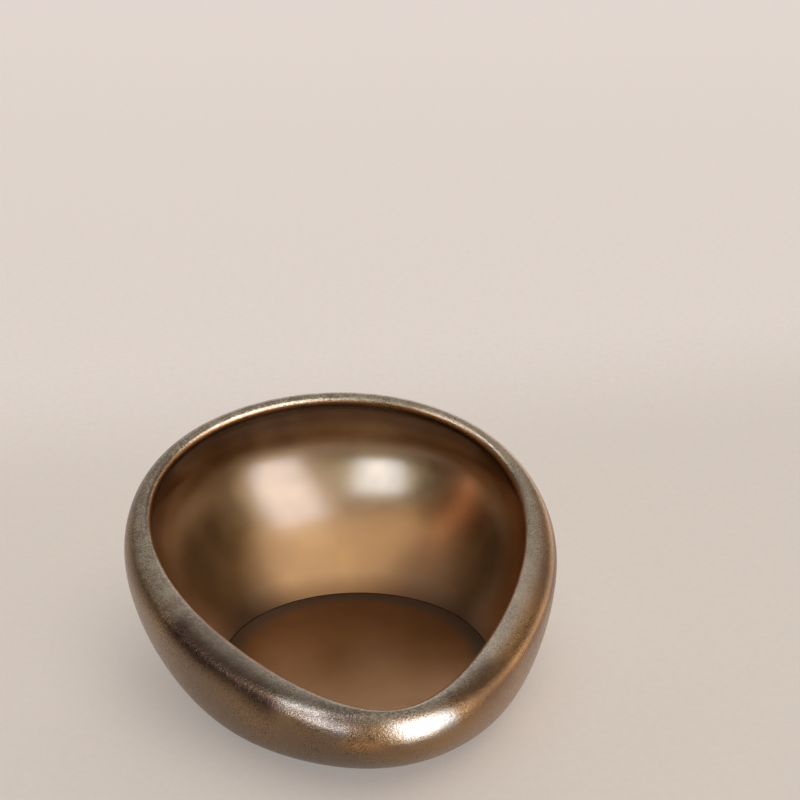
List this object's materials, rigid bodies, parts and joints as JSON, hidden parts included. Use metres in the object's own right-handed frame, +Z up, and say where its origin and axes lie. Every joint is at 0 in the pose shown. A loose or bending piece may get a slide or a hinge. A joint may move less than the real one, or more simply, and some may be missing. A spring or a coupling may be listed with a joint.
{
  "type": "spouted bowl",
  "caption": "Low round-bellied bronze bowl with a thick lip that turns inward, dips to a pinched pouring spout and rises to the back; smooth lined inside with a flat floor.",
  "frame": {"origin": "middle of the felt pad's lower face, which the bowl rests on", "axes": "+Z up, spout towards -Y, mirror plane X = 0"},
  "size_m": [0.1214, 0.1279, 0.0577],
  "materials": {
    "shell_bronze": "fine-grained satin patina with a grey-green cast along the lip",
    "liner_bronze": "smooth satin golden bronze",
    "floor_bronze": "smooth dark satin with a darker rim",
    "foot_bronze": "turned satin",
    "pad_felt": "dense wool felt"
  },
  "bodies": {
    "root": {"outer_shell": "shell_bronze", "inner_liner": "liner_bronze", "floor_disc": "floor_bronze", "foot_ring": "foot_bronze", "felt_pad": "pad_felt"}
  },
  "joints": []
}
